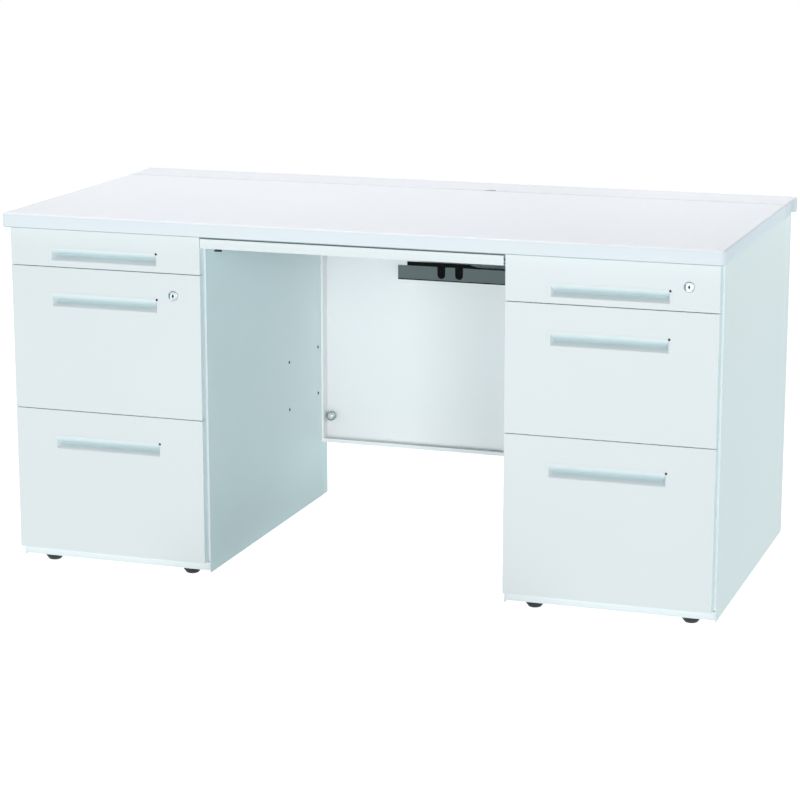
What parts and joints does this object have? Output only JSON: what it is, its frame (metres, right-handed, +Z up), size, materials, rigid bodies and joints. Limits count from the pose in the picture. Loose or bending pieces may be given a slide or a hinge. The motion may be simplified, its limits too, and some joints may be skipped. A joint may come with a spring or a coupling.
{
  "type": "double-pedestal teacher desk",
  "caption": "White steel teacher desk: a pedestal of drawers at each end with recessed pulls and locks, knee space, modesty panel, lift-up wiring flap, cable tray and levelling glides.",
  "frame": {"origin": "on the floor under the middle of the desk", "axes": "+X along the top, to the right of the person who sits at it; +Y from that person towards the back of the desk; +Z up"},
  "size_m": [1.406, 0.7, 0.7],
  "materials": {
    "worktop_board": "white melamine-faced board, soft satin",
    "flap_paint": "white powder coat, soft satin",
    "steel_paint": "white powder coat, satin with fine orange peel",
    "cap_plastic": "white moulded plastic",
    "pull_plastic": "white moulded plastic",
    "zinc_steel": "zinc-plated steel",
    "lock_chrome": "polished plating",
    "tray_paint": "dark grey powder coat",
    "foot_plastic": "black moulded plastic"
  },
  "bodies": {
    "desk_frame": {"tabletop": "worktop_board", "duct_trough": "steel_paint", "duct_end_cap_right": "cap_plastic", "duct_end_cap_left": "cap_plastic", "knee_beam": "steel_paint", "modesty_panel": "steel_paint", "modesty_bolt_left": "zinc_steel", "modesty_bolt_right": "zinc_steel", "cable_tray": "tray_paint", "left_outer_side": "steel_paint", "left_outer_slide_rack": "zinc_steel", "left_inner_side": "steel_paint", "left_inner_slide_rack": "zinc_steel", "left_back_panel": "steel_paint", "left_base_frame": "steel_paint", "left_top_frame": "steel_paint", "right_inner_side": "steel_paint", "right_inner_slide_rack": "zinc_steel", "right_outer_side": "steel_paint", "right_outer_slide_rack": "zinc_steel", "right_back_panel": "steel_paint", "right_base_frame": "steel_paint", "right_top_frame": "steel_paint"},
    "duct_cover": {"duct_cover": "flap_paint"},
    "left_front_outer_foot": {"left_front_outer_foot": "foot_plastic"},
    "left_front_inner_foot": {"left_front_inner_foot": "foot_plastic"},
    "left_back_outer_foot": {"left_back_outer_foot": "foot_plastic"},
    "left_back_inner_foot": {"left_back_inner_foot": "foot_plastic"},
    "left_top_drawer": {"left_top_drawer_front": "steel_paint", "left_top_drawer_pull": "pull_plastic", "left_top_drawer_box": "steel_paint"},
    "left_middle_drawer": {"left_middle_drawer_front": "steel_paint", "left_middle_drawer_pull": "pull_plastic", "left_middle_drawer_box": "steel_paint", "left_lock_barrel": "lock_chrome"},
    "left_middle_slides": {"left_middle_outer_slide": "zinc_steel", "left_middle_inner_slide": "zinc_steel"},
    "left_lock_plug": {"left_lock_plug": "lock_chrome"},
    "left_bottom_drawer": {"left_bottom_drawer_front": "steel_paint", "left_bottom_drawer_pull": "pull_plastic", "left_bottom_drawer_box": "steel_paint"},
    "left_bottom_slides": {"left_bottom_outer_slide": "zinc_steel", "left_bottom_inner_slide": "zinc_steel"},
    "right_front_inner_foot": {"right_front_inner_foot": "foot_plastic"},
    "right_front_outer_foot": {"right_front_outer_foot": "foot_plastic"},
    "right_back_inner_foot": {"right_back_inner_foot": "foot_plastic"},
    "right_back_outer_foot": {"right_back_outer_foot": "foot_plastic"},
    "right_top_drawer": {"right_top_drawer_front": "steel_paint", "right_top_drawer_pull": "pull_plastic", "right_top_drawer_box": "steel_paint", "right_lock_barrel": "lock_chrome"},
    "right_lock_plug": {"right_lock_plug": "lock_chrome"},
    "right_middle_drawer": {"right_middle_drawer_front": "steel_paint", "right_middle_drawer_pull": "pull_plastic", "right_middle_drawer_box": "steel_paint"},
    "right_bottom_drawer": {"right_bottom_drawer_front": "steel_paint", "right_bottom_drawer_pull": "pull_plastic", "right_bottom_drawer_box": "steel_paint"},
    "right_bottom_slides": {"right_bottom_inner_slide": "zinc_steel", "right_bottom_outer_slide": "zinc_steel"}
  },
  "joints": [
    {"name": "duct_cover_hinge", "type": "hinge", "parent": "desk_frame", "child": "duct_cover", "pos_m": [0, 0.344, 0.6935], "axis": [-1, 0, 0], "range_deg": [0, 90]},
    {"name": "left_front_outer_foot_turn", "type": "hinge", "parent": "desk_frame", "child": "left_front_outer_foot", "pos_m": [-0.643, -0.28, 0], "axis": [0, 0, 1], "continuous": true},
    {"name": "left_front_inner_foot_turn", "type": "hinge", "parent": "desk_frame", "child": "left_front_inner_foot", "pos_m": [-0.3465, -0.28, 0], "axis": [0, 0, 1], "continuous": true},
    {"name": "left_back_outer_foot_turn", "type": "hinge", "parent": "desk_frame", "child": "left_back_outer_foot", "pos_m": [-0.643, 0.31, 0], "axis": [0, 0, 1], "continuous": true},
    {"name": "left_back_inner_foot_turn", "type": "hinge", "parent": "desk_frame", "child": "left_back_inner_foot", "pos_m": [-0.3465, 0.31, 0], "axis": [0, 0, 1], "continuous": true},
    {"name": "left_top_drawer_slide", "type": "slide", "parent": "desk_frame", "child": "left_top_drawer", "axis": [0, -1, 0], "range_m": [0, 0.38]},
    {"name": "left_middle_drawer_slide", "type": "slide", "parent": "desk_frame", "child": "left_middle_drawer", "axis": [0, -1, 0], "range_m": [0, 0.52]},
    {"name": "left_middle_slides_slide", "type": "slide", "parent": "desk_frame", "child": "left_middle_slides", "axis": [0, -1, 0], "range_m": [0, 0.26]},
    {"name": "left_lock_turn", "type": "hinge", "parent": "left_middle_drawer", "child": "left_lock_plug", "pos_m": [-0.3555, -0.328, 0.55425], "axis": [0, 1, 0], "range_deg": [0, 90]},
    {"name": "left_bottom_drawer_slide", "type": "slide", "parent": "desk_frame", "child": "left_bottom_drawer", "axis": [0, -1, 0], "range_m": [0, 0.52]},
    {"name": "left_bottom_slides_slide", "type": "slide", "parent": "desk_frame", "child": "left_bottom_slides", "axis": [0, -1, 0], "range_m": [0, 0.26]},
    {"name": "right_front_inner_foot_turn", "type": "hinge", "parent": "desk_frame", "child": "right_front_inner_foot", "pos_m": [0.3465, -0.28, 0], "axis": [0, 0, 1], "continuous": true},
    {"name": "right_front_outer_foot_turn", "type": "hinge", "parent": "desk_frame", "child": "right_front_outer_foot", "pos_m": [0.643, -0.28, 0], "axis": [0, 0, 1], "continuous": true},
    {"name": "right_back_inner_foot_turn", "type": "hinge", "parent": "desk_frame", "child": "right_back_inner_foot", "pos_m": [0.3465, 0.31, 0], "axis": [0, 0, 1], "continuous": true},
    {"name": "right_back_outer_foot_turn", "type": "hinge", "parent": "desk_frame", "child": "right_back_outer_foot", "pos_m": [0.643, 0.31, 0], "axis": [0, 0, 1], "continuous": true},
    {"name": "right_top_drawer_slide", "type": "slide", "parent": "desk_frame", "child": "right_top_drawer", "axis": [0, -1, 0], "range_m": [0, 0.38]},
    {"name": "right_lock_turn", "type": "hinge", "parent": "right_top_drawer", "child": "right_lock_plug", "pos_m": [0.634, -0.328, 0.6284], "axis": [0, 1, 0], "range_deg": [0, 90]},
    {"name": "right_middle_drawer_slide", "type": "slide", "parent": "desk_frame", "child": "right_middle_drawer", "axis": [0, -1, 0], "range_m": [0, 0.38]},
    {"name": "right_bottom_drawer_slide", "type": "slide", "parent": "desk_frame", "child": "right_bottom_drawer", "axis": [0, -1, 0], "range_m": [0, 0.52]},
    {"name": "right_bottom_slides_slide", "type": "slide", "parent": "desk_frame", "child": "right_bottom_slides", "axis": [0, -1, 0], "range_m": [0, 0.26]}
  ],
  "couplings": [
    {"joint": "left_middle_slides_slide", "follows": "left_middle_drawer_slide", "ratio": 0.5},
    {"joint": "left_bottom_slides_slide", "follows": "left_bottom_drawer_slide", "ratio": 0.5},
    {"joint": "right_bottom_slides_slide", "follows": "right_bottom_drawer_slide", "ratio": 0.5}
  ]
}
